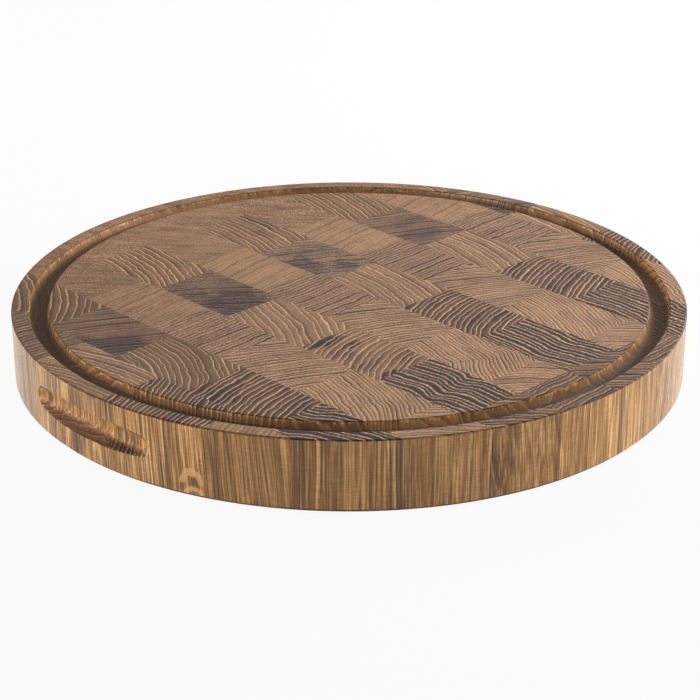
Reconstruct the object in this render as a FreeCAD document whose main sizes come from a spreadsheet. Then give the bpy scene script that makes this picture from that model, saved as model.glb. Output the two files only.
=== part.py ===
import FreeCAD, Part
import Sketcher

import math
import os
from typing import NamedTuple

# Round end-grain serving board with a juice groove and two finger grips.
#
# Hardwood staves are glued side by side into slabs. The slabs are sawn across
# into strips, the strips are stood on end and glued together, and the blank is
# turned round. So the top shows the end grain of every block, and the blocks of
# one strip continue those of the strips cut from the same slab.
#
# Origin: centre of the flat underside. +Z is up, +X runs along the strips.

# Sizes, in millimetres: name, value, what it measures
SIZES = (
    ("board_diameter", 400.0, "across the rim"),
    ("board_thickness", 42.0, "underside to top face"),
    ("top_edge_chamfer", 0.8, "eased arris round the top of the rim"),
    ("bottom_edge_chamfer", 2.0, "eased arris round the underside"),
    ("rim_land", 10.0, "flat ring between the groove and the rim"),
    ("groove_width", 12.0, "juice groove, across its mouth"),
    ("groove_depth", 6.5, "juice groove, below the top face"),
    ("groove_wall_run", 1.6, "how far each groove wall leans in over its depth"),
    ("groove_floor_chamfer", 1.8, "eased corner between groove wall and floor"),
    ("groove_edge_chamfer", 0.5, "eased arris at the mouth of the groove"),
    ("grip_height", 16.6, "finger grip, height of the cove"),
    ("grip_depth", 7.5, "finger grip, deepest point inside the rim"),
    ("grip_travel", 88.0, "straight run of the round cutter"),
    ("grip_drop", 19.7, "top face to the middle of the grip"),
    ("strip_width", 41.0, "glued strips, measured across"),
    ("strip_shift", 4.4, "nearest glue line to the centre, off centre"),
    ("least_offcut", 23.0, "a shorter end piece stays part of its neighbour"),
    ("slab_a_first_joint", -206.0, "first slab, its first glue line from the centre"),
    ("slab_a_stave_1", 62.0, "first slab, widths of the staves after that line"),
    ("slab_a_stave_2", 61.0, ""),
    ("slab_a_stave_3", 61.0, ""),
    ("slab_a_stave_4", 62.0, ""),
    ("slab_a_stave_5", 62.0, ""),
    ("slab_a_stave_6", 63.0, ""),
    ("slab_a_stave_7", 62.0, ""),
    ("slab_b_first_joint", -224.0, "second slab, its first glue line"),
    ("slab_b_stave_1", 62.0, "second slab, widths of its staves"),
    ("slab_b_stave_2", 62.0, ""),
    ("slab_b_stave_3", 62.0, ""),
    ("slab_b_stave_4", 58.0, ""),
    ("slab_b_stave_5", 62.0, ""),
    ("slab_b_stave_6", 63.0, ""),
    ("slab_b_stave_7", 21.0, ""),
    ("slab_b_stave_8", 62.0, ""),
    ("slab_c_first_joint", -171.0, "slab of the last strip, its first glue line"),
    ("slab_c_stave_1", 62.0, "slab of the last strip, widths of its staves"),
    ("slab_c_stave_2", 60.0, ""),
    ("slab_c_stave_3", 65.0, ""),
    ("slab_c_stave_4", 63.0, ""),
    ("slab_c_stave_5", 62.0, ""),
)

# Strips are numbered from +Y. This one lies just above the glue line nearest the centre.
MIDDLE_STRIP = 5
LAST_STRIP = 10
FULL_TURN = 360.0
SAW_OVERRUN = 5.0
TOLERANCE = 1e-4
VOLUME_SHARE = 1e-3
GRIP_SHARE = 1e-2
ORIGIN = (-1, 1)


class Joint(NamedTuple):
    """A glue line: where it is now, what places it, and the strip or stave on its plus side."""

    place: float
    expression: str
    beyond: int


def make_sizes(doc):
    """Fill the sheet that every feature reads its sizes from."""
    sheet = doc.addObject("Spreadsheet::Sheet", "Sizes")
    for row, (alias, value, note) in enumerate(SIZES, start=1):
        sheet.set(f"A{row}", alias)
        sheet.set(f"B{row}", str(value))
        sheet.setAlias(f"B{row}", alias)
        sheet.set(f"C{row}", note)
    doc.recompute()
    return sheet


def origin_plane(body, role):
    """One of the body's own origin planes."""
    for feature in body.Origin.OriginFeatures:
        if feature.Role == role:
            return feature
    raise LookupError(role)


def add_sketch(body, name, role):
    """A sketch on one of the body's origin planes."""
    sketch = body.newObject("Sketcher::SketchObject", name)
    sketch.AttachmentSupport = [(origin_plane(body, role), "")]
    sketch.MapMode = "FlatFace"
    return sketch


def add_outline(sketch, points):
    """Straight lines round a closed outline, joined end to end."""
    count = len(points)
    for here in range(count):
        start = FreeCAD.Vector(*points[here], 0)
        end = FreeCAD.Vector(*points[(here + 1) % count], 0)
        sketch.addGeometry(Part.LineSegment(start, end))
    for here in range(count):
        sketch.addConstraint(Sketcher.Constraint("Coincident", here, 2, (here + 1) % count, 1))


def add_dimension(sketch, kind, places, value, name, expression):
    """A named dimension, drawn at its present value and bound to the sheet."""
    index = sketch.addConstraint(Sketcher.Constraint(kind, *places, value))
    sketch.renameConstraint(index, name)
    sketch.setExpression(f"Constraints.{name}", expression)


def turn_blank(body, sheet):
    """The plain round of wood, turned from a rectangular half section."""
    radius = sheet.board_diameter / 2
    thickness = sheet.board_thickness
    sketch = add_sketch(body, "blank_section", "XZ_Plane")
    add_outline(sketch, [(0, 0), (radius, 0), (radius, thickness), (0, thickness)])
    sketch.addConstraint(Sketcher.Constraint("Coincident", 0, 1, *ORIGIN))
    for side, kind in enumerate(("Horizontal", "Vertical", "Horizontal", "Vertical")):
        sketch.addConstraint(Sketcher.Constraint(kind, side))
    add_dimension(sketch, "DistanceX", (*ORIGIN, 0, 2), radius, "radius", "Sizes.board_diameter / 2")
    add_dimension(sketch, "DistanceY", (*ORIGIN, 2, 2), thickness, "thickness", "Sizes.board_thickness")
    blank = body.newObject("PartDesign::Revolution", "blank")
    blank.Profile = sketch
    blank.ReferenceAxis = (sketch, ["V_Axis"])
    blank.Angle = FULL_TURN
    return blank


def turn_juice_groove(body, sheet):
    """The groove inside the rim, with walls that lean in a little."""
    mouth_in = sheet.board_diameter / 2 - sheet.rim_land - sheet.groove_width
    mouth_out = mouth_in + sheet.groove_width
    top = sheet.board_thickness
    floor = top - sheet.groove_depth
    run = sheet.groove_wall_run
    sketch = add_sketch(body, "juice_groove_section", "XZ_Plane")
    outline = [(mouth_in, top), (mouth_in + run, floor), (mouth_out - run, floor), (mouth_out, top)]
    add_outline(sketch, outline)
    sketch.addConstraint(Sketcher.Constraint("Horizontal", 1))
    sketch.addConstraint(Sketcher.Constraint("Horizontal", 3))
    inner_top, inner_floor, outer_floor, outer_top = (0, 1), (0, 2), (2, 1), (2, 2)
    for kind, places, value, name, expression in (
        ("DistanceY", (*ORIGIN, *inner_top), top, "top", "Sizes.board_thickness"),
        ("DistanceY", (*inner_floor, *inner_top), top - floor, "depth", "Sizes.groove_depth"),
        ("DistanceX", (*ORIGIN, *outer_top), mouth_out, "mouth", "Sizes.board_diameter / 2 - Sizes.rim_land"),
        ("DistanceX", (*inner_top, *outer_top), mouth_out - mouth_in, "width", "Sizes.groove_width"),
        ("DistanceX", (*inner_top, *inner_floor), run, "inner_run", "Sizes.groove_wall_run"),
        ("DistanceX", (*outer_floor, *outer_top), run, "outer_run", "Sizes.groove_wall_run"),
    ):
        add_dimension(sketch, kind, places, value, name, expression)
    groove = body.newObject("PartDesign::Groove", "juice_groove")
    groove.Profile = sketch
    groove.ReferenceAxis = (sketch, ["V_Axis"])
    groove.Angle = FULL_TURN
    return groove


def ring_edges(shape, rings):
    """Names of the round edges with these radii and heights."""
    names = []
    for number, edge in enumerate(shape.Edges, start=1):
        curve = edge.Curve
        if not isinstance(curve, Part.Circle):
            continue
        for radius, height in rings:
            same_radius = abs(curve.Radius - radius) < TOLERANCE
            same_height = abs(curve.Center.z - height) < TOLERANCE
            if same_radius and same_height:
                names.append(f"Edge{number}")
    return names


def ease_rings(doc, body, name, rings, alias):
    """Chamfer the given ring edges of the body as it is so far."""
    doc.recompute()
    base = body.Tip
    chamfer = body.newObject("PartDesign::Chamfer", name)
    chamfer.Base = (base, ring_edges(base.Shape, rings))
    chamfer.setExpression("Size", f"Sizes.{alias}")
    return chamfer


def ease_turned_edges(doc, body, sheet):
    """Ease the floor and mouth of the groove, and both edges of the rim."""
    radius = sheet.board_diameter / 2
    top = sheet.board_thickness
    floor = top - sheet.groove_depth
    mouth_out = radius - sheet.rim_land
    mouth_in = mouth_out - sheet.groove_width
    run = sheet.groove_wall_run
    floor_rings = [(mouth_in + run, floor), (mouth_out - run, floor)]
    ease_rings(doc, body, "groove_floor_corners", floor_rings, "groove_floor_chamfer")
    mouth_rings = [(mouth_in, top), (mouth_out, top)]
    ease_rings(doc, body, "groove_mouth_arrises", mouth_rings, "groove_edge_chamfer")
    ease_rings(doc, body, "top_arris", [(radius, top)], "top_edge_chamfer")
    ease_rings(doc, body, "bottom_arris", [(radius, 0)], "bottom_edge_chamfer")


def cut_finger_grips(doc, body, sheet):
    """A cove cut by a round-ended cutter run straight along the rim, and its mirror image."""
    cutter = sheet.grip_height / 2
    half_run = sheet.grip_travel / 2
    sketch = add_sketch(body, "finger_grip_section", "XY_Plane")
    sketch.setExpression(
        "AttachmentOffset.Base.y",
        "-(Sizes.board_diameter / 2 + Sizes.grip_height / 2 - Sizes.grip_depth)",
    )
    sketch.setExpression("AttachmentOffset.Base.z", "Sizes.board_thickness - Sizes.grip_drop")
    left, right = FreeCAD.Vector(-half_run, 0, 0), FreeCAD.Vector(half_run, 0, 0)
    rise, reach = FreeCAD.Vector(0, cutter, 0), FreeCAD.Vector(cutter, 0, 0)
    up = FreeCAD.Vector(0, 0, 1)
    axis = sketch.addGeometry(Part.LineSegment(left - reach, right + reach))
    right_end = sketch.addGeometry(Part.ArcOfCircle(Part.Circle(right, up, cutter), 0, math.pi / 2))
    wall = sketch.addGeometry(Part.LineSegment(right + rise, left + rise))
    left_end = sketch.addGeometry(Part.ArcOfCircle(Part.Circle(left, up, cutter), math.pi / 2, math.pi))
    for first, second in (((axis, 2), (right_end, 1)), ((left_end, 2), (axis, 1))):
        sketch.addConstraint(Sketcher.Constraint("Coincident", *first, *second))
    for first, second in (((right_end, 2), (wall, 1)), ((wall, 2), (left_end, 1))):
        sketch.addConstraint(Sketcher.Constraint("Tangent", *first, *second))
    horizontal_axis = -1
    for geometry, point in ((right_end, 3), (left_end, 3), (axis, 1), (axis, 2)):
        sketch.addConstraint(Sketcher.Constraint("PointOnObject", geometry, point, horizontal_axis))
    sketch.addConstraint(Sketcher.Constraint("Equal", right_end, left_end))
    add_dimension(sketch, "Radius", (right_end,), cutter, "cutter", "Sizes.grip_height / 2")
    add_dimension(sketch, "DistanceX", (*ORIGIN, right_end, 3), half_run, "right_run", "Sizes.grip_travel / 2")
    add_dimension(sketch, "DistanceX", (left_end, 3, *ORIGIN), half_run, "left_run", "Sizes.grip_travel / 2")
    grip = body.newObject("PartDesign::Groove", "finger_grip")
    grip.Profile = sketch
    grip.ReferenceAxis = (sketch, ["H_Axis"])
    grip.Angle = FULL_TURN
    doc.recompute()
    pair = body.newObject("PartDesign::Mirrored", "finger_grip_pair")
    pair.Originals = [grip]
    pair.MirrorPlane = (origin_plane(body, "XZ_Plane"), [""])
    body.Tip = pair
    return grip, pair


def turn_board(doc, sheet):
    """The whole board in one solid, before it is parted into its blocks."""
    body = doc.addObject("PartDesign::Body", "turned_board")
    blank = turn_blank(body, sheet)
    doc.recompute()
    groove = turn_juice_groove(body, sheet)
    doc.recompute()
    ease_turned_edges(doc, body, sheet)
    doc.recompute()
    before_grips = body.Tip.Shape.Volume
    grip, pair = cut_finger_grips(doc, body, sheet)
    doc.recompute()
    one_grip = before_grips - grip.Shape.Volume
    if groove.Shape.Volume >= blank.Shape.Volume or one_grip <= 0:
        raise ValueError("a groove or grip cut nothing")
    both_grips = before_grips - pair.Shape.Volume
    if abs(both_grips / one_grip - 2) > GRIP_SHARE:
        raise ValueError("the second grip is missing")
    return body


def strip_joints(sheet):
    """The long glue lines, from -Y to +Y, to well outside the board."""
    reach = math.ceil(sheet.board_diameter / sheet.strip_width)
    joints = []
    for step in range(-reach, reach + 1):
        place = sheet.strip_shift + step * sheet.strip_width
        expression = f"Sizes.strip_shift + {step} * Sizes.strip_width"
        joints.append(Joint(place, expression, MIDDLE_STRIP - step))
    return joints


def stave_joints(sheet, slab):
    """The slab's own glue lines, from -X to +X."""
    place = sheet.get(f"slab_{slab}_first_joint")
    expression = f"Sizes.slab_{slab}_first_joint"
    joints = [Joint(place, expression, 1)]
    widths = [alias for alias, _, _ in SIZES if alias.startswith(f"slab_{slab}_stave_")]
    for number, alias in enumerate(widths, start=1):
        place += sheet.get(alias)
        expression += f" + Sizes.{alias}"
        joints.append(Joint(place, expression, number + 1))
    return joints


def slab_of(strip):
    """The slab that a strip was sawn from: two in turn, and another for the last strip."""
    if strip >= LAST_STRIP:
        return "c"
    return "a" if strip % 2 else "b"


def half_length(radius, low, high):
    """Half the length of a strip along its longer glue line."""
    nearest = 0.0 if low < 0 < high else min(abs(low), abs(high))
    return math.sqrt(radius**2 - nearest**2)


def cells(joints, reach, outer):
    """Pairs of neighbouring lines: the glue lines within reach, with the outside at either end."""
    passed = [joint.beyond for joint in joints if joint.place <= -reach]
    first = passed[-1] if passed else joints[0].beyond - 1
    used = [joint for joint in joints if abs(joint.place) < reach]
    lines = [Joint(-math.inf, f"-({outer})", first), *used, Joint(math.inf, outer, None)]
    return list(zip(lines[:-1], lines[1:]))


def cut_block(doc, board, name, along, across):
    """One block: the part of the board between four glue lines."""
    cell = doc.addObject("Part::Box", f"{name}_cell")
    for axis, side, (low, high) in (("x", "Length", along), ("y", "Width", across)):
        cell.setExpression(f"Placement.Base.{axis}", low.expression)
        cell.setExpression(side, f"({high.expression}) - ({low.expression})")
    cell.setExpression("Height", f"Sizes.board_thickness + {2 * SAW_OVERRUN}")
    cell.Placement.Base.z = -SAW_OVERRUN
    block = doc.addObject("Part::Common", name)
    block.Label = name
    block.Base = cell
    block.Tool = board
    block.Placement = FreeCAD.Placement()
    return block


def cut_blocks(doc, board, sheet):
    """Every block, strip by strip from +Y to -Y and along each strip from -X to +X."""
    radius = sheet.board_diameter / 2
    outer = f"Sizes.board_diameter / 2 + {SAW_OVERRUN}"
    strips = cells(strip_joints(sheet), radius - sheet.least_offcut, outer)
    blocks = []
    for across in reversed(strips):
        low, high = across
        strip = low.beyond
        reach = half_length(radius, low.place, high.place) - sheet.least_offcut
        for along in cells(stave_joints(sheet, slab_of(strip)), reach, outer):
            name = f"strip_{strip:02d}_stave_{along[0].beyond}"
            blocks.append(cut_block(doc, board, name, along, across))
    return blocks


def check_document(doc, board, blocks):
    """Stop before anything is written if a feature failed or wood went missing."""
    for item in doc.Objects:
        if "Invalid" in item.State or "Error" in item.State:
            raise ValueError(f"{item.Label}: {item.State}")
    for block in blocks:
        shape = block.Shape
        if shape.isNull() or not shape.isValid() or len(shape.Solids) != 1:
            raise ValueError(f"{block.Label}: not one valid solid")
    total = sum(block.Shape.Volume for block in blocks)
    if abs(total / board.Shape.Volume - 1) > VOLUME_SHARE:
        raise ValueError("the blocks don't add up to the board")


def main():
    """Build the board, part it into its blocks and write one file for each."""
    doc = FreeCAD.newDocument("serving_board")
    sheet = make_sizes(doc)
    board = turn_board(doc, sheet)
    blocks = cut_blocks(doc, board, sheet)
    doc.recompute()
    check_document(doc, board, blocks)
    os.makedirs("parts", exist_ok=True)
    for block in blocks:
        block.Shape.exportStep(os.path.join("parts", f"{block.Label}.step"))
    print(f"{len(blocks)} blocks, {board.Shape.Volume / 1000:.1f} cubic centimetres")


main()
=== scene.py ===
"""Looks of a round end-grain serving board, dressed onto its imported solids.

Every block keeps its solid from the frame. Its wood is one field of growth
rings that runs through the whole block, so the end grain on top, the long
grain round the side, the groove and the grips all show the same rings.
"""

import logging
import math
from dataclasses import dataclass, replace
from enum import Enum
from functools import partial, reduce

import bmesh
import bpy
from mathutils import Matrix, Vector


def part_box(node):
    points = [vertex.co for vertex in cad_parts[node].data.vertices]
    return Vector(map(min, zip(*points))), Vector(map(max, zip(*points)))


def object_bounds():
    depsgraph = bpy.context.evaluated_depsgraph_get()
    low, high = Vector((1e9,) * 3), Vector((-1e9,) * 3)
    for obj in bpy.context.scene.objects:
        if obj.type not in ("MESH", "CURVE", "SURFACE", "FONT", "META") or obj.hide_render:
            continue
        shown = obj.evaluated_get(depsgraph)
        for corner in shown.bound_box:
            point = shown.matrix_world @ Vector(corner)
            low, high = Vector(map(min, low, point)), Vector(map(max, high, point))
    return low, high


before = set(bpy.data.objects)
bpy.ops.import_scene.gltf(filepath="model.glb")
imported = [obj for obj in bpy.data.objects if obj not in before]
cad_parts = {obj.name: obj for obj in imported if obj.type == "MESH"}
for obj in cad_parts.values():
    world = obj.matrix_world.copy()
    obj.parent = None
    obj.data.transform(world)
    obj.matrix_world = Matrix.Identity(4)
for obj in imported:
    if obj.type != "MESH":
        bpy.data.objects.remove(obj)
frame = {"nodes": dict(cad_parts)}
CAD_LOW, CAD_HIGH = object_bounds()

LOG = logging.getLogger("serving_board")

Socket = bpy.types.NodeSocket
Feed = float | int | Socket
Triple = tuple[float, float, float]
Colour = tuple[float, float, float, float]

MM = 0.001
LAST_STRIP = 10
# Half the length of a ring's arc that bow, sway and fan are given for, in mm.
HALF_STAVE = 30.0
# What a block's seed is made of.
STRIP_SEED, STAVE_SEED = 0.31, 1.7
# How far its rings' numbers and its noises, in mm, move on with the seed.
RINGS_APART, WOOD_APART = 3.7, 97.0
# How its fibres' lean and its tone on the side swing with the seed: how fast and how far.
LEAN_TURN, LEAN_SWING = 7.7, 0.05
TONE_TURN, TONE_SWING = 12.9, 0.12
USUAL_TONE = 0.97
# The ring that the numbers start at, so that none is below 0.
FIRST_RING = 40.0
# How far the rings wander for a wobble of 1, from end to end, in mm.
WANDER_REACH = 4.0
# How uneven the rings are for an irregularity of 1: in place, in line and in band.
UNEVEN_REACH, LINE_LOSS, BAND_LOSS = 2.2, 0.8, 0.9
UNEVEN_WAVES = 0.6
# Lets a ring's band draw another chance than its line.
OTHER_CHANCE = 57.5


def linear(hex_colour: str) -> Colour:
    """Turn a colour as it is seen into the value a shader takes.

    Args:
        hex_colour: Six hexadecimal digits, red first.

    Returns:
        Linear red, green, blue and a full alpha.
    """
    shares = [int(hex_colour[place : place + 2], 16) / 255 for place in (0, 2, 4)]
    light = [c / 12.92 if c <= 0.04045 else ((c + 0.055) / 1.055) ** 2.4 for c in shares]
    return (*light, 1.0)


class Desk:
    """Lays the nodes of one material or world and wires them."""

    def __init__(self, owner: bpy.types.Material | bpy.types.World) -> None:
        """Clear the owner's tree.

        Args:
            owner: The material or world to work on.
        """
        owner.use_nodes = True
        self.tree = owner.node_tree
        self.tree.nodes.clear()

    def node(
        self,
        kind: str,
        feeds: dict[str | int, object] | None = None,
        **settings: object,
    ) -> bpy.types.Node:
        """Add a node.

        Args:
            kind: The node's type, without its ShaderNode prefix.
            feeds: Values or sockets for its inputs, by name or place.
            **settings: Attributes to set on it.

        Returns:
            The new node.
        """
        node = self.tree.nodes.new("ShaderNode" + kind)
        for name, value in settings.items():
            setattr(node, name, value)
        for place, value in (feeds or {}).items():
            self.feed(node.inputs[place], value)
        return node

    def feed(self, socket: Socket, value: object) -> None:
        """Wire or set one input.

        Args:
            socket: The input.
            value: A socket to wire from, or a value to set.
        """
        if isinstance(value, bpy.types.NodeSocket):
            self.tree.links.new(value, socket)
        else:
            socket.default_value = value

    def math(self, operation: str, *values: Feed, clamp: bool = False) -> Socket:
        """One step of arithmetic, kept between 0 and 1 where it is clamped."""
        node = self.node("Math", dict(enumerate(values)), operation=operation, use_clamp=clamp)
        return node.outputs[0]

    def times(self, *values: Feed) -> Socket:
        """The product of two or more values."""
        return reduce(partial(self.math, "MULTIPLY"), values)

    def times_plus(self, value: Feed, factor: Feed, offset: Feed) -> Socket:
        """A value times a factor, and an offset on top."""
        return self.math("MULTIPLY_ADD", value, factor, offset)

    def between(
        self,
        value: Feed,
        low: float,
        high: float,
        start: float = 0.0,
        end: float = 1.0,
    ) -> Socket:
        """A smooth step from start to end while the value goes from low to high."""
        feeds = {"Value": value, "From Min": low, "From Max": high, "To Min": start, "To Max": end}
        return self.node("MapRange", feeds, interpolation_type="SMOOTHSTEP").outputs["Result"]

    def noise(self, vector: Socket, scale: float, detail: float, roughness: float) -> bpy.types.Node:
        """Soft noise in space, read at a vector, with its Fac and Color outputs."""
        feeds = {"Vector": vector, "Scale": scale, "Detail": detail, "Roughness": roughness}
        return self.node("TexNoise", feeds, noise_dimensions="3D")

    def noise_along(self, value: Socket, scale: float) -> Socket:
        """Soft noise along one value, from about -0.5 to 0.5."""
        made = self.node("TexNoise", {"W": value, "Scale": scale, "Detail": 0.0}, noise_dimensions="1D")
        return self.math("SUBTRACT", made.outputs["Fac"], 0.5)

    def chance(self, value: Socket) -> Socket:
        """A random share from 0 to 1 for each whole value."""
        return self.node("TexWhiteNoise", {"W": value}, noise_dimensions="1D").outputs["Value"]

    def vector(self, operation: str, first: object, second: object) -> Socket:
        """One step of vector arithmetic with two vectors."""
        node = self.node("VectorMath", {0: first, 1: second}, operation=operation)
        return node.outputs["Vector"]

    def stretched(self, vector: Socket, by: Triple) -> Socket:
        """The vector scaled along each axis."""
        return self.vector("MULTIPLY", vector, by)

    def length(self, vector: Socket) -> Socket:
        """How long the vector is."""
        return self.node("VectorMath", {0: vector}, operation="LENGTH").outputs["Value"]

    def part(self, vector: Socket, axis: str) -> Socket:
        """The vector's X, Y or Z."""
        return self.node("SeparateXYZ", {0: vector}).outputs[axis]

    def joined(self, *values: Feed) -> Socket:
        """A vector of an X, a Y and a Z."""
        return self.node("CombineXYZ", dict(enumerate(values))).outputs["Vector"]

    def placed(self, place: Socket, origin: Triple, turn: float, unit: Triple) -> Socket:
        """A place in a frame with this origin, turn about Z in radians, and units."""
        feeds = {"Vector": place, "Location": origin, "Rotation": (0.0, 0.0, turn), "Scale": unit}
        return self.node("Mapping", feeds, vector_type="TEXTURE").outputs["Vector"]

    def mix(self, share: Feed, first: object, second: object, blend: str = "MIX") -> Socket:
        """Two colours mixed.

        Args:
            share: How much of the second.
            first: A colour or its socket.
            second: Another.
            blend: How they are mixed.

        Returns:
            The mixed colour.
        """
        node = self.node("Mix", data_type="RGBA", blend_type=blend, clamp_factor=True)
        for place, value in ((0, share), (6, first), (7, second)):
            self.feed(node.inputs[place], value)
        return node.outputs[2]

    def finish(self, shader: bpy.types.Node, output: str = "OutputMaterial") -> None:
        """Send the shader's first output to the surface."""
        self.tree.links.new(shader.outputs[0], self.node(output).inputs["Surface"])


@dataclass(frozen=True)
class Patch:
    """A stain on the end grain: a soft dark place.

    Attributes:
        at: Its middle, in mm along +X and +Y from the block's centre.
        size: Half its width along +X and +Y, in mm.
        strength: How far it goes to the dark colour.
    """

    at: tuple[float, float]
    size: tuple[float, float]
    strength: float


@dataclass(frozen=True)
class Dip:
    """A place where all rings of a stave dip towards the inside.

    Attributes:
        at: Its middle, in mm along the rings.
        width: Half its width, in mm.
        depth: How far the rings dip, in mm.
    """

    at: float = 0.0
    width: float = 8.0
    depth: float = 0.0


@dataclass(frozen=True)
class Oval:
    """An oval on the side wall.

    Attributes:
        at: Its middle, in mm along the wall and up from the underside.
        size: Half its width and half its height, in mm.
    """

    at: tuple[float, float]
    size: tuple[float, float]


@dataclass(frozen=True)
class Knot:
    """A small knot on the long grain of the side: a pale arch over a dark heart, and a lower arch.

    Attributes:
        azimuth: Where it is round the board, in degrees from +X.
        arch: The oval whose upper half is the arch.
        foot: The oval whose upper half is the lower arch.
        heart: The dark heart.
        arch_share: How much of the arches' colour shows.
        arch_tint: That colour, as multiples of the wood's pale one.
        heart_share: How much of the dark colour shows in the heart.
        inside_share: The same inside the whole arch.
    """

    azimuth: float
    arch: Oval = Oval((0.0, 7.6), (7.2, 9.2))
    foot: Oval = Oval((1.2, 1.2), (6.2, 4.9))
    heart: Oval = Oval((2.2, 9.6), (3.4, 3.6))
    arch_share: float = 0.68
    arch_tint: Triple = (1.2, 1.14, 1.02)
    heart_share: float = 0.75
    inside_share: float = 0.3


@dataclass(frozen=True)
class Figure:
    """How the growth rings of one stave run, and how they are coloured.

    Attributes:
        ground: Colour between the rings.
        dark: Colour of the dense late wood.
        line: Colour of the pale line where a ring starts.
        heading: The way a ring runs, in degrees from +X.
        spacing: From ring to ring, in mm.
        outward: 1 or -1, the side of its line that a ring grows to.
        bow: How far a ring bends away half a stave along, in mm.
        sway: The same, to opposite sides at its two ends.
        fan: How much the rings spread half a stave along.
        dip: Where all rings dip.
        irregular: How uneven the rings are.
        wobble: How much rings wander from their arc.
        kinks: How far they shiver, in mm.
        line_share: Width of the pale line, as a share of a ring.
        line_strength: How much the pale line shows.
        band_share: Width of the dark band, as a share of a ring.
        band_strength: How much the dark band shows.
        base: How dark the wood is between line and band.
        mottle: How much the wood varies in clouds along the rings.
        speckle: How much its pores show.
        beads: How much the pale lines break into pores.
        lean: How far the fibres lean across and along a ring, per mm of height.
        side_share: How much of its rings shows on the board's side.
        side_tone: How light it is on the board's side.
        seed: Which wood it is.
        patches: Its stains.
    """

    ground: str = "a68367"
    dark: str = "7c6050"
    line: str = "c8a27c"
    heading: float = 0.0
    spacing: float = 4.0
    outward: int = -1
    bow: float = 0.0
    sway: float = 0.0
    fan: float = 0.0
    dip: Dip = Dip()
    irregular: float = 0.3
    wobble: float = 0.8
    kinks: float = 1.6
    line_share: float = 0.24
    line_strength: float = 0.8
    band_share: float = 0.5
    band_strength: float = 0.5
    base: float = 0.15
    mottle: float = 0.25
    speckle: float = 0.45
    beads: float = 0.3
    lean: tuple[float, float] = (0.02, 0.01)
    side_share: float = 1.0
    side_tone: float = 1.0
    seed: float = 0.0
    patches: tuple[Patch, ...] = ()


PLAIN = Figure(
    ground="a0785a", dark="7a5840", line="c69a6e", heading=38, spacing=4.0, fan=0.2, irregular=0.8,
    wobble=1.6, line_share=0.35, line_strength=0.5, band_strength=0.45, mottle=0.75, beads=0.1,
    speckle=0.85,
)
WAVY = Figure(
    ground="946c52", dark="3d2826", line="deb076", heading=-11, spacing=3.8, bow=3.2,
    line_share=0.22, line_strength=1.0, band_share=0.35, band_strength=0.85, base=0.1, wobble=0.9,
    mottle=0.25,
)
DUSKY = Figure(
    ground="9a7a60", dark="322123", line="c69c74", heading=61, spacing=3.4, bow=1.5,
    line_strength=0.45, band_strength=0.85, band_share=0.55, base=0.15, wobble=0.9, kinks=1.3,
    mottle=0.3, speckle=0.75, irregular=0.45,
    patches=(Patch((12, -12), (22, 12), 0.6), Patch((22, -4), (9, 16), 0.35)),
)
REDDISH = Figure(
    ground="9f785b", dark="4c342b", line="e2b788", heading=-13, spacing=4.0, bow=3.2,
    line_share=0.21, line_strength=1.0, band_share=0.38, band_strength=0.7, base=0.08, wobble=1.0,
    irregular=0.45,
)
STRIPED = Figure(
    ground="7c5b48", dark="2a1b20", line="deb07e", heading=-72, spacing=3.5, bow=-5.5,
    line_share=0.25, line_strength=1.0, band_share=0.65, band_strength=0.95, base=0.18, wobble=0.8,
    irregular=0.35, mottle=0.5,
)
RIPPLED = Figure(
    ground="60463a", dark="1c0f14", line="e0b78a", heading=-2, spacing=3.6, bow=0.8,
    line_share=0.33, line_strength=1.0, band_share=0.7, band_strength=1.0, base=0.55, wobble=0.8,
    beads=0.55, irregular=0.35, dip=Dip(5, 7, 3.2),
)
PALE_LINED = Figure(
    ground="a9825f", dark="543a2e", line="cd9f6f", heading=-80, spacing=2.7, outward=1, bow=-2.0,
    line_share=0.35, line_strength=0.6, band_share=0.3, band_strength=0.68, base=0.05, wobble=0.9,
    irregular=0.75,
)
CLOSE = Figure(
    ground="a98163", dark="2c1d1c", line="cb9e74", heading=-88, spacing=3.0, line_strength=0.6,
    band_share=0.5, band_strength=1.0, base=0.1, wobble=1.1, kinks=1.6, speckle=0.65, irregular=0.35,
)
FANNED = Figure(
    ground="b18868", dark="25161a", line="deaf82", heading=63, spacing=3.2, fan=0.12, bow=3.0,
    line_share=0.28, line_strength=0.9, band_share=0.5, band_strength=1.0, base=0.15, wobble=0.9,
    kinks=1.2, speckle=0.5, irregular=0.35,
)
FINE = Figure(
    ground="bb8f6b", dark="46302a", line="e0b184", heading=-24, spacing=2.4, bow=2.6,
    line_share=0.32, line_strength=0.7, band_share=0.5, band_strength=0.9, wobble=1.1, kinks=0.8,
    irregular=0.25,
)
SOFT = Figure(
    ground="bd916e", dark="4a3028", line="daab7e", heading=46, spacing=3.0, bow=3.0,
    line_strength=0.8, band_strength=0.95, wobble=1.2,
)
CURVED = replace(STRIPED, ground="8c674c", heading=48, spacing=3.4, bow=2.0, line_strength=0.8)
CLOSE_END = replace(CLOSE, ground="8c694f", line_strength=0.9, base=0.3)


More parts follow.
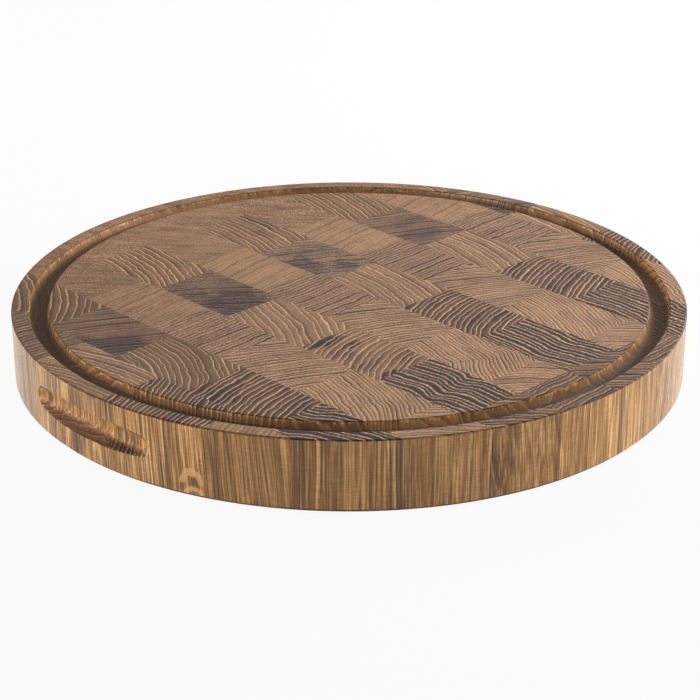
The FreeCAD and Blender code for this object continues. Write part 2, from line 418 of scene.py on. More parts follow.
@dataclass(frozen=True)
class LongGrain:
    """The colours of the same wood where the cut runs along the grain.

    Attributes:
        ground: Colour between the streaks.
        dark: Colour of the dense streaks.
        line: Colour of the pale streaks.
        own: How much of a stave's own colour stays.
        least_rings: How much of the rings shows where they fade most.
        streaks: How much darker the darkest fine streaks are.
        streak_lift: How much lighter the palest are, as a share of that.
        bands: How light the darkest and the lightest broad bands are.
        saw_marks: How light the darkest and the lightest saw marks are.
        warmth: The powers of the light that green and blue take, where red takes 1.
        cream: How far the palest streaks go to the pale colour.
        cream_from: Where in the streaks that starts and is full.
    """

    ground: str = "d79c56"
    dark: str = "61391d"
    line: str = "efc184"
    own: float = 0.22
    least_rings: float = 0.3
    streaks: float = 0.54
    streak_lift: float = 0.35
    bands: tuple[float, float] = (0.72, 1.16)
    saw_marks: tuple[float, float] = (0.91, 1.07)
    warmth: tuple[float, float] = (1.14, 1.24)
    cream: float = 0.5
    cream_from: tuple[float, float] = (0.5, 0.68)


class Slab(Enum):
    """The glued slabs that the strips were sawn from."""

    FIRST = "a"
    SECOND = "b"
    LAST = "c"


STAVES: dict[tuple[Slab, int], Figure] = {
    (Slab.FIRST, 1): PLAIN,
    (Slab.FIRST, 2): WAVY,
    (Slab.FIRST, 3): DUSKY,
    (Slab.FIRST, 4): REDDISH,
    (Slab.FIRST, 5): STRIPED,
    (Slab.FIRST, 6): RIPPLED,
    (Slab.FIRST, 7): CURVED,
    (Slab.SECOND, 1): PLAIN,
    (Slab.SECOND, 2): PLAIN,
    (Slab.SECOND, 3): PALE_LINED,
    (Slab.SECOND, 4): CLOSE,
    (Slab.SECOND, 5): FANNED,
    (Slab.SECOND, 6): FINE,
    (Slab.SECOND, 7): SOFT,
    (Slab.SECOND, 8): CLOSE_END,
    (Slab.LAST, 2): replace(CLOSE, ground="7d604c", heading=-100, spacing=3.6, band_strength=0.9),
    (Slab.LAST, 3): replace(REDDISH, heading=12, bow=4.0, spacing=3.4, band_strength=0.8, base=0.3),
    (Slab.LAST, 4): replace(STRIPED, heading=-68, bow=3.0, spacing=3.0),
    (Slab.LAST, 5): replace(CLOSE, heading=-60, ground="a78261", band_strength=0.6),
}

# The blocks that differ from their stave, by strip and stave.
CHANGES: dict[tuple[int, int], Figure] = {
    (2, 5): replace(FANNED, ground="a57e60"),
    (3, 2): replace(WAVY, heading=-16, spacing=3.5, bow=2.6, ground="856349", band_strength=0.7),
    (3, 3): replace(
        DUSKY, heading=64, ground="8e6b50",
        patches=(Patch((-6, 6), (6, 16), 0.35), Patch((14, -6), (12, 16), 0.4)),
    ),
    (3, 4): replace(REDDISH, heading=-15, spacing=4.0),
    (3, 5): replace(STRIPED, heading=-68, bow=-3.5, spacing=3.6, sway=2.5),
    (3, 6): replace(RIPPLED, heading=-4, bow=1.5, dip=Dip(16, 9, 3.0)),
    (4, 8): replace(CLOSE_END, side_share=0.4),
    (5, 2): replace(
        WAVY, heading=-8, spacing=3.9, bow=2.4,
        patches=(Patch((-14, 16), (20, 5), 0.6), Patch((6, 4), (12, 4), 0.4)),
    ),
    (5, 3): replace(
        DUSKY,
        patches=(
            Patch((4, -15), (16, 10), 0.5), Patch((20, 3), (9, 8), 0.5),
            Patch((-18, 2), (8, 18), 0.2),
        ),
    ),
    (5, 6): replace(RIPPLED, heading=-1, bow=-1.2, sway=-1.0, dip=Dip(8, 8, 2.0)),
    (5, 7): replace(CURVED, side_share=0.4),
    (6, 6): replace(FINE, dip=Dip(6, 9, -3.0)),
    (6, 8): replace(CLOSE_END, side_share=0.5),
    (7, 2): replace(WAVY, heading=-17, bow=3.6, spacing=4.3, sway=-0.8),
    (7, 3): replace(
        DUSKY, ground="84654e", heading=52, band_strength=0.65, line_strength=0.45,
        patches=(
            Patch((19, -2), (20, 20), 0.6), Patch((0, -14), (26, 11), 0.4),
            Patch((0, 8), (14, 12), 0.25),
        ),
    ),
    (7, 4): replace(REDDISH, heading=-24, spacing=4.8, bow=2.6),
    (7, 5): replace(
        STRIPED, ground="9a7257", base=0.1, band_strength=0.6, band_share=0.55, heading=-70,
        bow=-6.0, spacing=4.0,
        patches=(
            Patch((-26, -5), (5, 14), 0.75), Patch((-13, 2), (4, 9), 0.6),
            Patch((29, -10), (3, 10), 0.8),
        ),
    ),
    (7, 6): replace(RIPPLED, heading=3, bow=2.0, dip=Dip(3, 7, 4.5)),
    (7, 7): replace(CURVED, side_share=0.6),
    # The darker grounds of these two blocks are painted shade, darker towards the front of the top.
    (8, 2): replace(PLAIN, ground="8c694d"),
    (8, 3): replace(PALE_LINED, ground="9f7859"),
    (8, 6): replace(FINE, spacing=2.5, bow=3.4),
    # The darker grounds and lines of (9, 2), (9, 3) and (9, 4) are painted shade, darker towards the
    # front of the top.
    (9, 2): replace(WAVY, heading=-36, spacing=4.8, ground="77573f", line="c99f6e"),
    (9, 3): replace(
        DUSKY, ground="86644c", spacing=4.0, band_share=0.4,
        patches=(Patch((20, -8), (13, 15), 0.75), Patch((4, -18), (14, 6), 0.5)),
    ),
    (9, 4): replace(
        REDDISH, heading=-22, bow=6.0, spacing=3.7, ground="806047", line="dab182",
        band_strength=0.85,
    ),
    (9, 5): replace(
        STRIPED, heading=-74, bow=-4.0, spacing=3.9, patches=(Patch((-16, -12), (16, 10), 0.5),),
    ),
    (9, 6): replace(RIPPLED, heading=18, bow=2.0, dip=Dip(-22, 8, 3.0), side_share=0.75),
}

# How light single blocks are on the side, by strip and stave.
SIDE_TONES: dict[tuple[int, int], float] = {
    (4, 8): 0.82,
    (5, 7): 1.0,
    (6, 8): 1.16,
    (7, 7): 0.86,
    (9, 6): 0.98,
    (10, 2): 0.9,
    (10, 3): 1.07,
    (10, 4): 1.27,
    (10, 5): 0.87,
}

KNOTS: dict[tuple[int, int], Knot] = {(10, 4): Knot(-68.65)}


@dataclass(frozen=True)
class Texture:
    """A soft noise that runs through a block's wood.

    Attributes:
        stretch: How its place is scaled along a ring, across it and along the fibres.
        scale: Waves per mm.
        detail: Finer octaves on top.
        roughness: How strong those are.
        low: The value that counts as none.
        high: The value that counts as all.
    """

    stretch: Triple
    scale: float
    detail: float = 1.0
    roughness: float = 0.5
    low: float = 0.35
    high: float = 0.65


WANDER = Texture((1.0, 1.0, 0.18), 1 / 16.0, 1.5, 0.45)
SHIVER = Texture((1.0, 1.0, 0.04), 1 / 5.0, 0.0)
BEADS = Texture((0.9, 0.5, 0.04), 1.0, 0.0, low=0.42, high=0.58)
CLOUDS = Texture((0.5, 1.3, 0.15), 1 / 13.0, 2.5, 0.6, low=0.38, high=0.72)
PORES = Texture((1.0, 1.0, 0.06), 1.3, 1.0, 0.6, low=0.33, high=0.67)
GLOW = Texture((1.0, 1.0, 0.1), 1 / 20.0)
FADING = Texture((1.0, 1.0, 0.01), 1 / 9.0, low=0.38, high=0.62)
SAW_MARKS = Texture((0.12, 0.12, 1.3), 1.0)
STREAKS = Texture((1.0, 1.0, 0.02), 1.05, 2.5, 0.62, low=0.3, high=0.66)
BANDS = Texture((1.0, 1.0, 0.03), 0.16, 1.5, 0.6, low=0.36, high=0.64)
KNOT_EDGE = Texture((1.0, 1.0, 0.5), 0.45, 2.0)
STAIN_EDGE = Texture((1.0, 1.0, 1.0), 1 / 6.0, 2.0)

# How ragged the outlines of the stains and of the knot's ovals are, as shares of their size.
STAIN_RAGGED, OVAL_RAGGED = 1.2, 0.35
# Where they fade, and where the arches' inner and outer edges do, as shares of it too.
STAIN_STEP, HEART_STEP, INSIDE_STEP = (0.5, 1.3), (0.35, 1.2), (0.6, 1.0)
ARCH_INNER, ARCH_OUTER = (0.46, 0.62), (0.94, 1.12)
# The same for their feet, in mm from the oval's middle up.
ARCH_FEET = (-0.5, 1.0)
# How much darker and lighter a speckle of 1 makes the end grain, and its glow's range.
PORES_DARK, PORES_LIGHT, GLOW_LIGHT = 0.7, 0.6, (0.94, 1.1)


@dataclass(frozen=True)
class Cuts:
    """Where the turned and cut surfaces begin, each as the two ends of a soft step.

    Attributes:
        end_grain: How far a face looks up or down, from long grain to end grain.
        recess_floor: How far a face looks up, from a recess's wall to its floor, where painted shade
            goes.
        depth: Below the top face, from the top to a recess, in mm.
        land: In from the rim, from its land to the groove, in mm.
        cut_in: In from the rim, from the side wall to a grip, in mm.
        clear: Above the underside, from its arris to a grip, in mm.
        arris_slant: How far an arris looks up or down.
        slant_off: How far off that slant, from an arris to none.
        arris_reach: From the top or underside, from an arris to none, in mm.
    """

    end_grain: tuple[float, float] = (0.35, 0.75)
    recess_floor: tuple[float, float] = (0.3, 0.75)
    depth: tuple[float, float] = (0.9, 2.5)
    land: tuple[float, float] = (9.0, 9.5)
    cut_in: tuple[float, float] = (0.7, 1.3)
    clear: tuple[float, float] = (3.0, 4.0)
    arris_slant: float = 0.707
    slant_off: tuple[float, float] = (0.1, 0.2)
    arris_reach: tuple[float, float] = (2.2, 3.0)


@dataclass(frozen=True)
class CutWood:
    """How the cut surfaces are coloured, in linear light, with painted shade on the recess floors and
    on the arrises.

    Attributes:
        groove_shade: What the groove's floor is multiplied by.
        grip_shade: The same in the grips.
        arris_shade: The same on the arrises.
        groove_across: How much end grain the groove's walls show.
        grip_lines: How much of the pale lines is lost in the grips.
        floor_colour: Dark colour laid on the groove's floor as painted shade.
        floor_shade_share: How much of it.
        wall_colour: Colour of the groove's walls.
        wall_share: How much of it.
    """

    # Painted shade: these two darken the floors of the groove and the grips.
    groove_shade: Colour = (0.5, 0.43, 0.34, 1.0)
    grip_shade: Colour = (0.82, 0.72, 0.6, 1.0)
    # Painted shade: this darkens the arrises.
    arris_shade: Colour = (0.66, 0.50, 0.34, 1.0)
    groove_across: float = 0.7
    grip_lines: float = 0.75
    # Painted shade: a dark colour laid over the groove's floor.
    floor_colour: Colour = (0.16, 0.096, 0.055, 1.0)
    floor_shade_share: float = 0.45
    wall_colour: Colour = (0.36, 0.205, 0.105, 1.0)
    wall_share: float = 0.5


@dataclass(frozen=True)
class Oil:
    """How the oiled surface takes the light.

    Attributes:
        roughness: How rough the long grain is.
        end_grain: What end grain adds to that.
        grip: What a grip adds.
        pores: What the pores add.
        dense: What the dense wood adds.
        line_relief: How much the pale lines stand proud of the pores.
        streak_relief: The same for the streaks.
        bump: How much of the relief shows.
        bump_height: Its height, in mm.
        ior: Index of refraction.
        specular: Specular level.
    """

    roughness: float = 0.37
    end_grain: float = 0.55
    grip: float = 0.35
    pores: float = -0.18
    dense: float = -0.08
    line_relief: float = 0.35
    streak_relief: float = 0.5
    bump: float = 0.25
    bump_height: float = 0.15
    ior: float = 1.46
    specular: float = 0.45


@dataclass(frozen=True)
class Grain:
    """What the wood shows at a point.

    Attributes:
        pale: The pale line's share.
        dense: How dark the wood is.
        pores: The pores' noise, dark below a half.
        streaks: The long grain's noise.
    """

    pale: Socket
    dense: Socket
    pores: Socket
    streaks: Socket


@dataclass
class Wood:
    """The solid wood of one block.

    Attributes:
        name: The material's name.
        figure: Its rings and colours.
        centre: Middle of the block's end grain, in the frame.
        top: Height of the top face, in the frame.
        knot: Its knot, if it has one.
        side: Its colours along the grain.
        cuts: Where the cut surfaces begin.
        cut_wood: How they are coloured.
        oil: How the surface takes the light.
    """

    name: str
    figure: Figure
    centre: tuple[float, float]
    top: float
    knot: Knot | None = None
    side: LongGrain = LongGrain()
    cuts: Cuts = Cuts()
    cut_wood: CutWood = CutWood()
    oil: Oil = Oil()

    def build(self) -> bpy.types.Material:
        """Make the material.

        Returns:
            The finished material.
        """
        material = bpy.data.materials.new(self.name)
        self.desk = desk = Desk(material)
        self.read_place()
        self.read_cuts()
        self.along, self.across = self.ring_place()
        pale, dense = self.ring_parts(self.ring_phase())
        kept = desk.times_plus(self.in_grip, -self.cut_wood.grip_lines, 1.0)
        pale = desk.times(pale, kept)
        pores = self.texture(PORES).outputs["Fac"]
        grain = Grain(pale, self.clouded(dense), pores, self.drawn_out(STREAKS))
        self.surface(self.colour(grain), grain)
        return material

    def texture(self, texture: Texture) -> bpy.types.Node:
        """Read a noise in the block's own wood, with its Fac and Color outputs."""
        place = self.desk.stretched(self.wood_place, texture.stretch)
        return self.desk.noise(place, texture.scale, texture.detail, texture.roughness)

    def share(self, texture: Texture, start: float = 0.0, end: float = 1.0) -> Socket:
        """Read a noise as a soft step from start at its low end to end at its high one."""
        noise = self.texture(texture).outputs["Fac"]
        return self.desk.between(noise, texture.low, texture.high, start, end)

    def drawn_out(self, texture: Texture) -> Socket:
        """Read a noise that follows the rings and is drawn out along the grain.

        Args:
            texture: The noise.

        Returns:
            Noise about a half.
        """
        desk = self.desk
        rise = desk.times(desk.part(self.wood_place, "Z"), texture.stretch[2])
        place = desk.joined(self.along, self.across, rise)
        return desk.noise(place, texture.scale, texture.detail, texture.roughness).outputs["Fac"]

    def read_place(self) -> None:
        """Read where a point is in the frame and in the block's wood, and how far it looks up."""
        desk = self.desk
        coords = desk.node("TexCoord")
        self.object_place = coords.outputs["Object"]
        self.level = desk.part(self.object_place, "Z")
        self.up = desk.part(coords.outputs["Normal"], "Z")
        self.flat = desk.math("ABSOLUTE", self.up)
        turn = math.radians(self.figure.heading)
        self.local = desk.placed(self.object_place, (*self.centre, 0.0), turn, (MM, MM, MM))
        own = (0.0, 0.0, WOOD_APART * self.figure.seed)
        self.wood_place = desk.vector("ADD", self.local, own)

    def read_cuts(self) -> None:
        """Read which of the turned and cut surfaces a point is on."""
        desk, cuts = self.desk, self.cuts
        self.end_grain = desk.between(self.flat, *cuts.end_grain)
        shallow, deep = (self.top - depth * MM for depth in cuts.depth)
        self.sunk = desk.between(self.level, deep, shallow, 1.0, 0.0)
        radius = desk.length(desk.stretched(self.object_place, (1.0, 1.0, 0.0)))
        self.inside = self.in_from_rim(radius, cuts.land)
        self.in_groove = desk.times(self.inside, self.sunk)
        cut_in = desk.math("SUBTRACT", self.in_from_rim(radius, cuts.cut_in), self.inside)
        clear = desk.between(self.level, *(height * MM for height in cuts.clear))
        self.in_grip = desk.times(cut_in, self.sunk, clear)

    def in_from_rim(self, radius: Socket, step: tuple[float, float]) -> Socket:
        """1 further in from the rim than a step, given in mm from it, and 0 outside."""
        near, far = (CAD_HIGH.x - inward * MM for inward in step)
        return self.desk.between(radius, far, near, 1.0, 0.0)

    def ring_place(self) -> tuple[Socket, Socket]:
        """Where a point is along and across the rings, in mm, with their wander and lean.

        Returns:
            The distance along the ring and across it.
        """
        desk, figure = self.desk, self.figure
        moved = self.shifted(self.local, WANDER, WANDER_REACH * figure.wobble)
        moved = self.shifted(moved, SHIVER, figure.kinks)
        height = desk.math("SUBTRACT", desk.part(moved, "Z"), self.top / MM)
        across_lean, along_lean = figure.lean
        across_lean += LEAN_SWING * math.sin(LEAN_TURN * figure.seed)
        along = desk.times_plus(height, along_lean, desk.part(moved, "X"))
        across = desk.times_plus(height, across_lean, desk.part(moved, "Y"))
        return along, across

    def shifted(self, place: Socket, texture: Texture, reach: float) -> Socket:
        """Move a place about across the grain.

        Args:
            place: The place.
            texture: The noise that moves it.
            reach: How far that moves it.

        Returns:
            The moved place.
        """
        desk = self.desk
        noise = self.texture(texture).outputs["Color"]
        about_zero = desk.vector("SUBTRACT", noise, (0.5, 0.5, 0.5))
        move = desk.stretched(about_zero, (reach, reach, 0.0))
        return desk.vector("ADD", place, move)

    def ring_phase(self) -> Socket:
        """Which ring a point is in, counted across the stave.

        Returns:
            The ring's number with its fraction.
        """
        desk, figure, along = self.desk, self.figure, self.along
        share = desk.math("DIVIDE", along, HALF_STAVE)
        square = desk.times(share, share)
        bent = desk.times_plus(square, figure.bow, self.across)
        if figure.sway:
            cube = desk.times(square, share)
            bent = desk.times_plus(cube, figure.sway, bent)
        if figure.dip.depth:
            offset = desk.math("SUBTRACT", along, figure.dip.at)
            offset = desk.math("DIVIDE", offset, figure.dip.width)
            far = desk.times(offset, offset, -1.0)
            bent = desk.times_plus(desk.math("EXPONENT", far), figure.dip.depth, bent)
        if figure.fan:
            bent = desk.times(bent, desk.times_plus(share, figure.fan, 1.0))
        first = FIRST_RING + RINGS_APART * figure.seed
        even = desk.times_plus(bent, figure.outward / figure.spacing, first)
        uneven = desk.noise_along(even, UNEVEN_WAVES)
        return desk.times_plus(uneven, UNEVEN_REACH * figure.irregular, even)

    def ring_parts(self, phase: Socket) -> tuple[Socket, Socket]:
        """How much of the pale line and of the dark band shows at a point.

        Args:
            phase: The ring's number with its fraction.

        Returns:
            The pale line's share and the dark band's.
        """
        desk, figure = self.desk, self.figure
        ring = desk.math("FLOOR", phase)
        profile = desk.node("ValToRGB", {0: desk.math("FRACT", phase)})
        self.draw_profile(profile.color_ramp)
        split = desk.node("SeparateColor", {0: profile.outputs["Color"]})
        broken = self.share(BEADS, 1.0 - figure.beads, 1.0)
        weak_line = desk.times_plus(desk.chance(ring), -LINE_LOSS * figure.irregular, 1.0)
        pale = desk.times(split.outputs["Red"], weak_line, broken, figure.line_strength)
        other = desk.chance(desk.math("ADD", ring, OTHER_CHANCE))
        weak_band = desk.times_plus(other, -BAND_LOSS * figure.irregular, 1.0)
        return pale, desk.times(split.outputs["Green"], weak_band, figure.band_strength)

    def draw_profile(self, ramp: bpy.types.ColorRamp) -> None:
        """Draw one ring from its pale early line to its dark late band.

        Args:
            ramp: Takes the line's share as red and the band's as green.
        """
        figure = self.figure
        line_end = 1.2 * figure.line_share
        band_start = max(1.0 - figure.band_share, 1.35 * figure.line_share + 0.02)
        band_peak = 0.94
        turning, line, between, band = (0.15, 0.8), (1.0, 0.0), (0.0, figure.base), (0.0, 1.0)
        stops = (
            (0.0, turning),
            (0.3 * figure.line_share, line),
            (0.7 * figure.line_share, line),
            (line_end, between),
            (band_start, between),
            (band_peak, band),
            (1.0, turning),
        )
        ramp.interpolation = "EASE"
        while len(ramp.elements) < len(stops):
            ramp.elements.new(0.5)
        for element, (place, (pale, dense)) in zip(ramp.elements, stops):
            element.position = place
            element.color = (pale, dense, 0.0, 1.0)

    def clouded(self, dense: Socket) -> Socket:
        """Add the clouds along the rings and the stains.

        Args:
            dense: The dark band's share.

        Returns:
            How dark the wood is.
        """
        desk, figure = self.desk, self.figure
        dense = desk.math("ADD", dense, self.share(CLOUDS, 0.0, figure.mottle), clamp=True)
        for patch in figure.patches:
            dense = desk.math("ADD", dense, self.stain(patch), clamp=True)
        return dense

    def stain(self, patch: Patch) -> Socket:
        """How much of a stain shows at a point.

        Args:
            patch: The stain.

        Returns:
            Its share.
        """
        desk = self.desk
        middle = [centre + MM * offset for centre, offset in zip(self.centre, patch.at)]
        wide, deep = patch.size
        place = desk.placed(self.object_place, (*middle, 0.0), 0.0, (MM * wide, MM * deep, 1.0))
        far = self.ragged(desk.length(place), STAIN_EDGE, STAIN_RAGGED)
        return desk.between(far, *STAIN_STEP, patch.strength, 0.0)

    def ragged(self, far: Socket, texture: Texture, reach: float) -> Socket:
        """A distance from an outline's middle, moved in and out by a noise."""
        noise = self.desk.math("SUBTRACT", self.texture(texture).outputs["Fac"], 0.5)
        return self.desk.times_plus(noise, reach, far)

    def colour(self, grain: Grain) -> Socket:
        """The wood's colour.

        Args:
            grain: What the wood shows.

        Returns:
            The colour.
        """
        desk = self.desk
        in_groove = desk.times(self.in_groove, self.cut_wood.groove_across)
        across = desk.math("MAXIMUM", self.end_grain, in_groove)
        wood = desk.mix(across, self.long_grain(grain), self.cross_grain(grain))
        # Painted shade goes on the recess floors and on the arrises.
        return self.shade_arrises(self.shade_recesses(wood))

    def cross_grain(self, grain: Grain) -> Socket:
        """The wood's colour where the cut runs across the grain.

        Args:
            grain: What the wood shows.

        Returns:
            The colour.
        """
        desk, figure = self.desk, self.figure
        wood = desk.mix(grain.dense, linear(figure.ground), linear(figure.dark))
        wood = desk.mix(grain.pale, wood, linear(figure.line))
        dull = 1.0 - PORES_DARK * figure.speckle
        bright = 1.0 + PORES_LIGHT * figure.speckle
        light = desk.between(grain.pores, PORES.low, PORES.high, dull, bright)
        light = desk.times(light, self.share(GLOW, *GLOW_LIGHT))
        return desk.mix(1.0, wood, desk.joined(light, light, light), "MULTIPLY")

    def shade_recesses(self, wood: Socket) -> Socket:
        """Paint shade on the floors of the groove and the grips, and colour the groove's walls.

        Args:
            wood: The colour without that.

        Returns:
            The colour with it.
        """
        desk, cut = self.desk, self.cut_wood
        # Painted shade: up-facing floors in the groove and the grips are darkened, and the groove's
        # floor takes a dark colour.
        recess = desk.times(self.sunk, desk.between(self.up, *self.cuts.recess_floor))
        tint = desk.mix(self.inside, cut.grip_shade, cut.groove_shade)
        wood = desk.mix(recess, wood, desk.mix(1.0, wood, tint, "MULTIPLY"))
        floor = desk.times(recess, self.inside, cut.floor_shade_share)
        wood = desk.mix(floor, wood, cut.floor_colour)
        wall = desk.times(self.in_groove, desk.math("SUBTRACT", 1.0, self.end_grain))
        return desk.mix(desk.times(wall, cut.wall_share), wood, cut.wall_colour)

    def shade_arrises(self, wood: Socket) -> Socket:
        """Paint shade on the arrises at the rim's two edges.

        Args:
            wood: The colour without that.

        Returns:
            The colour with it.
        """
        desk, cuts = self.desk, self.cuts
        # Painted shade: slanted faces near the top and the underside are darkened.
        off = desk.math("ABSOLUTE", desk.math("SUBTRACT", self.flat, cuts.arris_slant))
        half = 0.5 * self.top
        from_middle = desk.math("ABSOLUTE", desk.math("SUBTRACT", self.level, half))
        near, far = (half - reach * MM for reach in cuts.arris_reach)
        slanted = desk.between(off, *cuts.slant_off, 1.0, 0.0)
        arris = desk.times(slanted, desk.between(from_middle, far, near))
        return desk.mix(arris, wood, desk.mix(1.0, wood, self.cut_wood.arris_shade, "MULTIPLY"))

    def long_grain(self, grain: Grain) -> Socket:
        """The wood's colour where the cut runs along the grain.

        Args:
            grain: What the wood shows.

        Returns:
            The colour.
        """
        desk, figure, side = self.desk, self.figure, self.side
        pairs = ((side.ground, figure.ground), (side.dark, figure.dark), (side.line, figure.line))
        ground, dark, line = (
            tuple(a + side.own * (b - a) for a, b in zip(linear(common), linear(own)))
            for common, own in pairs
        )
        shown = self.share(FADING, side.least_rings * figure.side_share, figure.side_share)
        wood = desk.mix(desk.times(grain.dense, shown), ground, dark)
        wood = desk.mix(desk.times(grain.pale, shown), wood, line)
        wood = desk.mix(desk.between(grain.streaks, *side.cream_from, 0.0, side.cream), wood, line)
        dull = figure.side_tone * (1.0 - side.streaks)
        bright = figure.side_tone * (1.0 + side.streak_lift * side.streaks)
        light = desk.between(grain.streaks, STREAKS.low, STREAKS.high, dull, bright)
        bands = desk.between(self.drawn_out(BANDS), BANDS.low, BANDS.high, *side.bands)
        light = desk.times(light, bands, self.share(SAW_MARKS, *side.saw_marks))
        green, blue = (desk.math("POWER", light, power) for power in side.warmth)
        wood = desk.mix(1.0, wood, desk.joined(light, green, blue), "MULTIPLY")
        return self.knotted(wood, self.knot, line, dark) if self.knot else wood

    def knotted(self, wood: Socket, knot: Knot, line: Colour, dark: Colour) -> Socket:
        """Lay the knot over the long grain.

        Args:
            wood: The colour without the knot.
            knot: The knot.
            line: The long grain's pale colour.
            dark: Its dark colour.

        Returns:
            The colour with it.
        """
        desk = self.desk
        turn = math.radians(knot.azimuth)
        foot = (CAD_HIGH.x * math.cos(turn), CAD_HIGH.x * math.sin(turn), 0.0)
        place = desk.placed(self.object_place, foot, turn + math.pi / 2, (MM, MM, MM))
        heart = desk.between(self.oval(place, knot.heart), *HEART_STEP, knot.heart_share, 0.0)
        wood = desk.mix(heart, wood, dark)
        inside = desk.between(self.oval(place, knot.arch), *INSIDE_STEP, knot.inside_share, 0.0)
        wood = desk.mix(inside, wood, dark)
        arches = desk.math("MAXIMUM", self.arch(place, knot.arch), self.arch(place, knot.foot))
        pale = (*(tint * share for tint, share in zip(knot.arch_tint, line)), 1.0)
        return desk.mix(desk.times(arches, knot.arch_share), wood, pale)

    def oval(self, place: Socket, oval: Oval) -> Socket:
        """How far a point is from an oval's middle.

        Args:
            place: The point along the wall and up, in mm.
            oval: The oval.

        Returns:
            The distance as a share of the oval's size, a little ragged.
        """
        desk = self.desk
        (right, up), (wide, high) = oval.at, oval.size
        moved = desk.vector("ADD", place, (-right, 0.0, -up))
        far = desk.length(desk.stretched(moved, (1.0 / wide, 0.0, 1.0 / high)))
        return self.ragged(far, KNOT_EDGE, OVAL_RAGGED)

    def arch(self, place: Socket, oval: Oval) -> Socket:
        """How much of a pale arch shows at a point.

        Args:
            place: The point along the wall and up, in mm.
            oval: The oval whose upper half it is.

        Returns:
            Its share.
        """
        desk = self.desk
        far = self.oval(place, oval)
        inner, outer = desk.between(far, *ARCH_INNER), desk.between(far, *ARCH_OUTER, 1.0, 0.0)
        low, high = (oval.at[1] + foot for foot in ARCH_FEET)
        above = desk.between(desk.part(place, "Z"), low, high)
        return desk.times(inner, outer, above)

    def surface(self, colour: Socket, grain: Grain) -> None:
        """Finish the surface: oiled wood with a soft sheen and open pores.

        Args:
            colour: The wood's colour.
            grain: What the wood shows.
        """
        desk, oil = self.desk, self.oil
        roughness = desk.times_plus(self.end_grain, oil.end_grain, oil.roughness)
        roughness = desk.times_plus(self.in_grip, oil.grip, roughness)
        roughness = desk.times_plus(grain.pores, oil.pores, roughness)
        roughness = desk.times_plus(grain.dense, oil.dense, roughness)
        relief = desk.times_plus(grain.pale, oil.line_relief, grain.pores)
        relief = desk.times_plus(grain.streaks, oil.streak_relief, relief)
        height = oil.bump_height * MM
        bump = desk.node("Bump", {"Height": relief, "Strength": oil.bump, "Distance": height})
        feeds = {
            "Base Color": colour,
            "Roughness": roughness,
            "Normal": bump.outputs["Normal"],
            "IOR": oil.ior,
            "Specular IOR Level": oil.specular,
        }
        desk.finish(desk.node("BsdfPrincipled", feeds))


@dataclass
class Board:
    """The serving board: sixty glued blocks, turned round.

    Attributes:
        nodes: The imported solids, by name.
    """

    nodes: dict[str, bpy.types.Object]

    def slab_of(self, strip: int) -> Slab:
        """The slab that a strip was sawn from.

        Args:
            strip: The strip's number.

        Returns:
            Its slab.
        """
        if strip == LAST_STRIP:
            return Slab.LAST
        return Slab.FIRST if strip % 2 else Slab.SECOND

    def figure_of(self, strip: int, stave: int) -> Figure:
        """The rings and colours of one block, with a seed and a tone of its own.

        Args:
            strip: Its strip's number.
            stave: Its stave's number.

        Returns:
            Its figure.
        """
        figure = CHANGES.get((strip, stave), STAVES[self.slab_of(strip), stave])
        seed = STRIP_SEED * strip + STAVE_SEED * stave
        usual_tone = USUAL_TONE + TONE_SWING * math.sin(TONE_TURN * seed)
        tone = SIDE_TONES.get((strip, stave), usual_tone)
        return replace(figure, seed=seed, side_tone=tone)

    def dress(self) -> None:
        """Give every block its own wood."""
        for name, block in sorted(self.nodes.items()):
            strip, stave = (int(number) for number in name.split("_")[1::2])
            low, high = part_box(name)
            middle = ((low.x + high.x) / 2, (low.y + high.y) / 2)
            figure = self.figure_of(strip, stave)
            wood = Wood(name, figure, middle, CAD_HIGH.z, KNOTS.get((strip, stave)))
            material = wood.build()
            for slot in block.material_slots:
                slot.material = material
            LOG.info("dressed %s", name)


@dataclass(frozen=True)
class SoftBox:
    """A soft box, aimed at the board.

    Attributes:
        name: The light's name.
        place: Where it hangs as the camera sees it, in metres.
        size: Its width and height, in metres.
        power: Its power, in watts.
        tint: Its colour.
    """

    name: str
    place: Triple
    size: tuple[float, float]
    power: float
    tint: Triple = (1.0, 1.0, 1.0)


SOFT_BOXES = (
    SoftBox("right_box", (1.45, 0.3, 0.65), (1.2, 0.8), 24.0, (0.98, 1.0, 1.03)),
    SoftBox("right_back_box", (1.25, 0.85, 0.25), (1.2, 0.4), 17.0, (0.92, 1.0, 1.1)),
    SoftBox("left_box", (-1.5, 0.4, 0.45), (1.0, 0.7), 12.0),
    SoftBox("back_box", (0.2, 1.3, 1.0), (1.6, 0.8), 5.0),
    SoftBox("front_fill", (-1.35, -1.0, 0.35), (1.2, 0.6), 8.0),
)


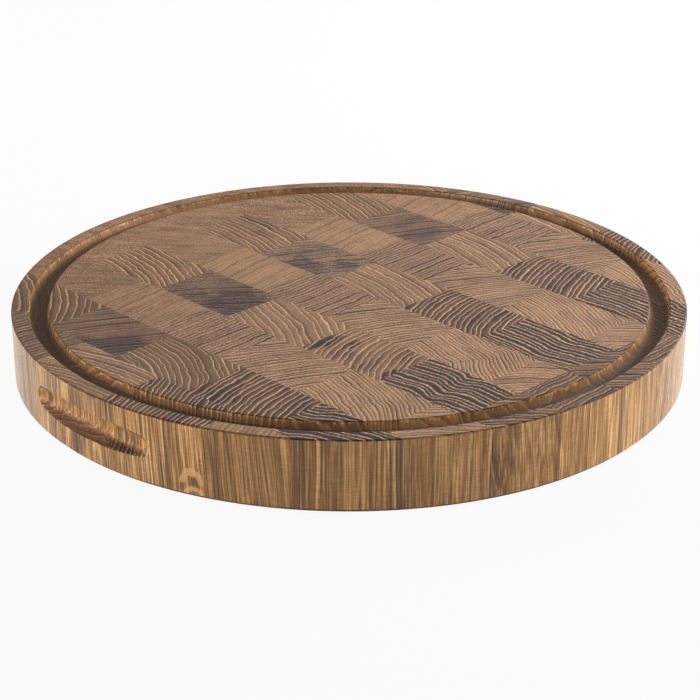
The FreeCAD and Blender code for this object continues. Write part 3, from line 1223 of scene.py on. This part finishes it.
@dataclass
class Studio:
    """The white floor and world, the soft boxes and the camera.

    A place as the camera sees it runs to its right, away from it and up from
    the frame's origin.

    Attributes:
        turn: How far round the board the camera stands, in degrees from -Y.
        camera_place: Where it stands as it sees it, in metres.
        camera_target: What it looks at, the same way.
        lens: Its focal length, in mm.
        sensor: Its sensor's width, in mm.
        floor_size: Half the floor's width, in metres.
        floor_gap: How far it lies below the board, in metres.
        floor_colour: Its colour where it lights the board.
        floor_glow: How much of it is plain white where it is seen or mirrored.
        world_light: How strongly the world lights the board, where it is seen at 1.
        world_mirrored: How far it goes from that light to 1 where it is mirrored.
        boxes: The soft boxes.
    """

    turn: float = 45.6
    camera_place: Triple = (0.0005, -1.1076, 0.4933)
    camera_target: Triple = (0.0005, 0.0, 0.00364)
    lens: float = 102.75
    sensor: float = 36.0
    floor_size: float = 6.0
    floor_gap: float = 0.0003
    floor_colour: Colour = (0.8, 0.8, 0.8, 1.0)
    floor_glow: float = 0.92
    world_light: float = 0.28
    world_mirrored: float = 0.6
    boxes: tuple[SoftBox, ...] = SOFT_BOXES

    def turned(self, place: Triple) -> Vector:
        """A place as the camera sees it, in the frame."""
        return Matrix.Rotation(math.radians(self.turn), 3, "Z") @ Vector(place)

    def lay_floor(self) -> None:
        """Lay a white floor."""
        mesh = bpy.data.meshes.new("floor")
        shape = bmesh.new()
        bmesh.ops.create_grid(shape, x_segments=1, y_segments=1, size=self.floor_size)
        shape.to_mesh(mesh)
        shape.free()
        floor = bpy.data.objects.new("floor", mesh)
        floor.location.z = CAD_LOW.z - self.floor_gap
        bpy.context.scene.collection.objects.link(floor)
        mesh.materials.append(self.floor_white())
        LOG.info("laid %s", floor.name)

    def floor_white(self) -> bpy.types.Material:
        """Make the floor's material: plain white where it is seen, a soft white elsewhere.

        Returns:
            The finished material.
        """
        material = bpy.data.materials.new("floor_white")
        desk = Desk(material)
        path = desk.node("LightPath")
        seen = desk.math("ADD", path.outputs["Is Camera Ray"], path.outputs["Is Glossy Ray"])
        seen = desk.times(seen, self.floor_glow)
        diffuse = desk.node("BsdfDiffuse", {"Color": self.floor_colour})
        glow = desk.node("Emission", {"Color": (1.0, 1.0, 1.0, 1.0), "Strength": 1.0})
        both = desk.node("MixShader", {0: seen, 1: diffuse.outputs[0], 2: glow.outputs[0]})
        desk.finish(both)
        return material

    def hang(self, box: SoftBox) -> None:
        """Hang one soft box and aim it at the board.

        Args:
            box: The soft box.
        """
        data = bpy.data.lights.new(box.name, "AREA")
        data.shape = "RECTANGLE"
        data.size, data.size_y = box.size
        data.energy = box.power
        data.color = box.tint
        lamp = bpy.data.objects.new(box.name, data)
        bpy.context.scene.collection.objects.link(lamp)
        lamp.location = self.turned(box.place)
        lamp.rotation_mode = "QUATERNION"
        lamp.rotation_quaternion = (-lamp.location).to_track_quat("-Z", "Y")
        LOG.info("hung %s", lamp.name)

    def light_all(self) -> None:
        """Set the world and the soft boxes."""
        world = bpy.data.worlds.new("studio")
        bpy.context.scene.world = world
        desk = Desk(world)
        path = desk.node("LightPath").outputs
        mirrored = self.world_mirrored
        seen = desk.times_plus(path["Is Glossy Ray"], mirrored, path["Is Camera Ray"])
        strength = desk.times_plus(seen, 1.0 - self.world_light, self.world_light)
        desk.finish(desk.node("Background", {"Strength": strength}), "OutputWorld")
        for box in self.boxes:
            self.hang(box)

    def set_camera(self) -> None:
        """Stand the camera where the photograph was taken from."""
        data = bpy.data.cameras.new("camera")
        data.lens = self.lens
        data.sensor_width = self.sensor
        camera = bpy.data.objects.new("camera", data)
        bpy.context.scene.collection.objects.link(camera)
        place = self.turned(self.camera_place)
        target = self.turned(self.camera_target)
        camera.location = place
        camera.rotation_mode = "QUATERNION"
        camera.rotation_quaternion = (target - place).to_track_quat("-Z", "Y")
        bpy.context.scene.camera = camera
        LOG.info("stood %s", camera.name)


def main() -> None:
    """Dress the board and set the studio."""
    logging.basicConfig(level=logging.INFO)
    scene = bpy.context.scene
    scene.view_settings.view_transform = "Standard"
    studio = Studio()
    studio.set_camera()
    studio.lay_floor()
    studio.light_all()
    Board(frame["nodes"]).dress()


if __name__ == "__main__":
    main()
